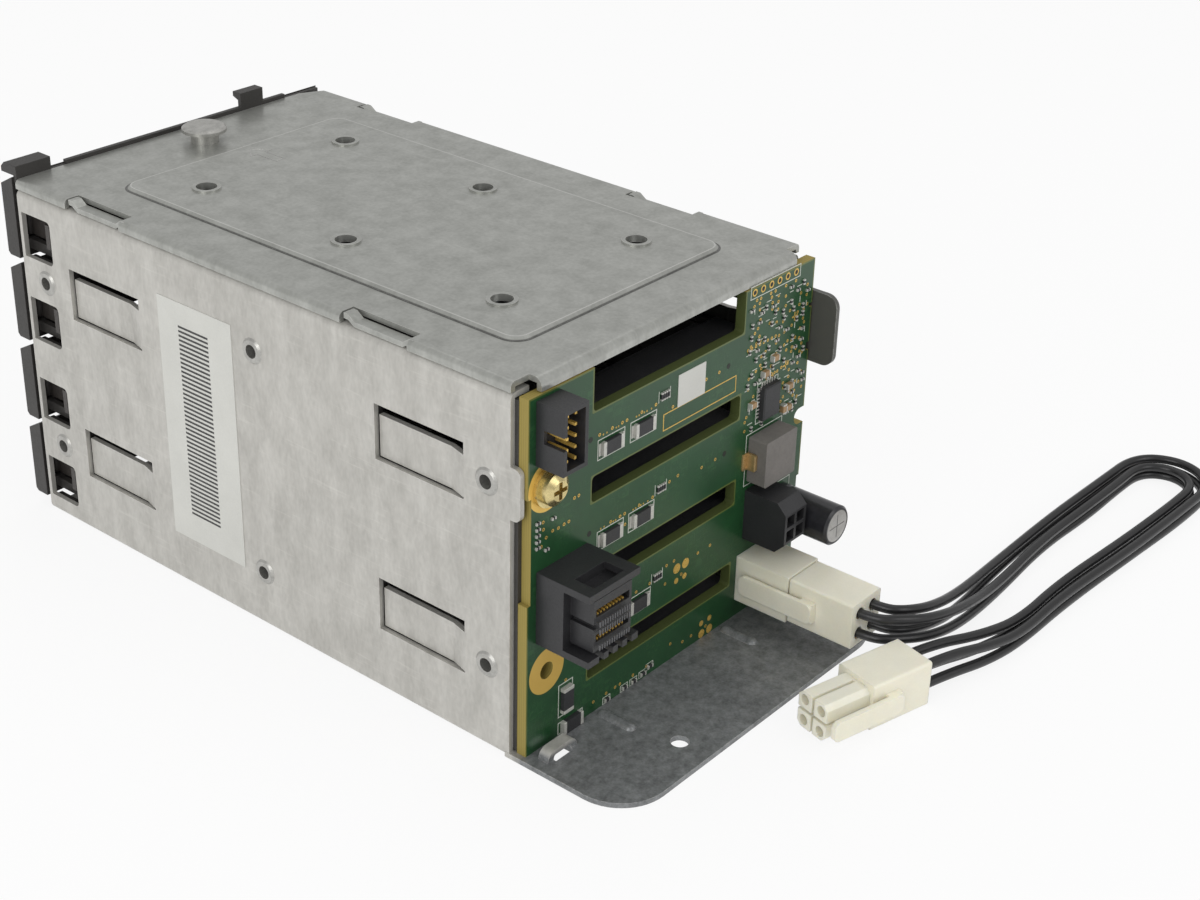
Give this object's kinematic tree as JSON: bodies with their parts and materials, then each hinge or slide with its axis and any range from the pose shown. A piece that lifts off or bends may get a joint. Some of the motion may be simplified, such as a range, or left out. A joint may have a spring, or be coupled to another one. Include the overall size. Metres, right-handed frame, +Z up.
{
  "type": "hot swap drive cage",
  "caption": "Folded steel cage for small hot-swap drives, with sliding carriers, release levers, a rear backplane board and a power lead.",
  "frame": {"origin": "middle of the case's width at the front edge of its underside, where the sheet metal begins", "axes": "+Z up, away from the face the cage rests on; +Y from the carriers' fronts to the backplane; +X to the side wall with the label"},
  "size_m": [0.1756, 0.1827, 0.0752],
  "materials": {
    "zinc_sheet": "zinc coated steel sheet with a fine soft spangle, satin",
    "cover_sheet": "pre-galvanised steel sheet, fine mottle, satin",
    "rivet_steel": "rolled tubular rivets, dull steel",
    "plated_screw": "yellow passivated steel screw",
    "dark_plastic": "moulded, fine spark grain, matt",
    "lever_plastic": "moulded, fine spark grain, matt",
    "button_plastic": "moulded, satin",
    "spring_steel": "bright hard-rolled strip and wire",
    "board_green": "glass-epoxy board with green solder resist, semi-gloss",
    "connector_black": "glass-filled nylon, satin",
    "nylon_ivory": "natural nylon, slightly waxy",
    "contact_gold": "gold flash over nickel",
    "contact_tin": "tin plated",
    "capacitor_sleeve": "shrunk sleeve over an aluminium can, glossy",
    "inductor_ferrite": "moulded iron powder, matt",
    "chip_resin": "epoxy moulding compound, matt",
    "label_paper": "coated label stock, blank or with plain bars",
    "wire_black": "PVC insulation, satin"
  },
  "bodies": {
    "root": {"chassis_shell": "zinc_sheet", "top_cover": "cover_sheet", "cover_stud": "rivet_steel", "front_trim": "dark_plastic", "guide_right": "dark_plastic", "guide_left": "dark_plastic", "guide_rivets": "rivet_steel", "backplane_board": "board_green", "board_screw": "plated_screw", "signal_header": "connector_black", "signal_pins": "contact_gold", "data_connector": "connector_black", "data_contacts": "contact_gold", "aux_power_header": "connector_black", "aux_power_pins": "contact_tin", "main_power_header": "nylon_ivory", "main_power_pins": "contact_tin", "capacitor": "capacitor_sleeve", "inductor": "inductor_ferrite", "controller_chip": "chip_resin", "shunt_resistors": "chip_resin", "board_fuses": "chip_resin", "side_label": "label_paper", "board_sticker": "label_paper", "drive_connector_1": "connector_black", "drive_connector_2": "connector_black", "drive_connector_3": "connector_black", "drive_connector_4": "connector_black"},
    "carrier_1": {"carrier_frame_1": "dark_plastic", "lever_pin_1": "spring_steel", "lever_spring_1": "spring_steel"},
    "lever_1": {"release_lever_1": "lever_plastic"},
    "button_1": {"release_button_1": "button_plastic"},
    "carrier_2": {"carrier_frame_2": "dark_plastic", "lever_pin_2": "spring_steel", "lever_spring_2": "spring_steel"},
    "lever_2": {"release_lever_2": "lever_plastic"},
    "button_2": {"release_button_2": "button_plastic"},
    "carrier_3": {"carrier_frame_3": "dark_plastic", "lever_pin_3": "spring_steel", "lever_spring_3": "spring_steel"},
    "lever_3": {"release_lever_3": "lever_plastic"},
    "button_3": {"release_button_3": "button_plastic"},
    "carrier_4": {"carrier_frame_4": "dark_plastic", "lever_pin_4": "spring_steel", "lever_spring_4": "spring_steel"},
    "lever_4": {"release_lever_4": "lever_plastic"},
    "button_4": {"release_button_4": "button_plastic"},
    "power_lead": {"mated_plug": "nylon_ivory", "free_plug": "nylon_ivory", "plug_terminals": "contact_tin", "wire_1": "wire_black", "wire_2": "wire_black", "wire_3": "wire_black", "wire_4": "wire_black"}
  },
  "joints": [
    {"name": "carrier_1_slide", "type": "slide", "parent": "root", "child": "carrier_1", "axis": [0, -1, 0], "range_m": [0, 0.11]},
    {"name": "lever_1_swing", "type": "hinge", "parent": "carrier_1", "child": "lever_1", "pos_m": [0.0345, -0.0033, 0.0109], "axis": [0, 0, 1], "range_deg": [0, 50]},
    {"name": "button_1_press", "type": "slide", "parent": "carrier_1", "child": "button_1", "axis": [0, 1, 0], "range_m": [0, 0.0012], "stiffness_N_per_m": 300},
    {"name": "carrier_2_slide", "type": "slide", "parent": "root", "child": "carrier_2", "axis": [0, -1, 0], "range_m": [0, 0.11]},
    {"name": "lever_2_swing", "type": "hinge", "parent": "carrier_2", "child": "lever_2", "pos_m": [0.0345, -0.0033, 0.0284], "axis": [0, 0, 1], "range_deg": [0, 50]},
    {"name": "button_2_press", "type": "slide", "parent": "carrier_2", "child": "button_2", "axis": [0, 1, 0], "range_m": [0, 0.0012], "stiffness_N_per_m": 300},
    {"name": "carrier_3_slide", "type": "slide", "parent": "root", "child": "carrier_3", "axis": [0, -1, 0], "range_m": [0, 0.11]},
    {"name": "lever_3_swing", "type": "hinge", "parent": "carrier_3", "child": "lever_3", "pos_m": [0.0345, -0.0033, 0.0459], "axis": [0, 0, 1], "range_deg": [0, 50]},
    {"name": "button_3_press", "type": "slide", "parent": "carrier_3", "child": "button_3", "axis": [0, 1, 0], "range_m": [0, 0.0012], "stiffness_N_per_m": 300},
    {"name": "carrier_4_slide", "type": "slide", "parent": "root", "child": "carrier_4", "axis": [0, -1, 0], "range_m": [0, 0.11]},
    {"name": "lever_4_swing", "type": "hinge", "parent": "carrier_4", "child": "lever_4", "pos_m": [0.0345, -0.0033, 0.0634], "axis": [0, 0, 1], "range_deg": [0, 50]},
    {"name": "button_4_press", "type": "slide", "parent": "carrier_4", "child": "button_4", "axis": [0, 1, 0], "range_m": [0, 0.0012], "stiffness_N_per_m": 300},
    {"name": "power_lead_pull", "type": "slide", "parent": "root", "child": "power_lead", "axis": [0, 1, 0], "range_m": [0, 0.012]}
  ]
}
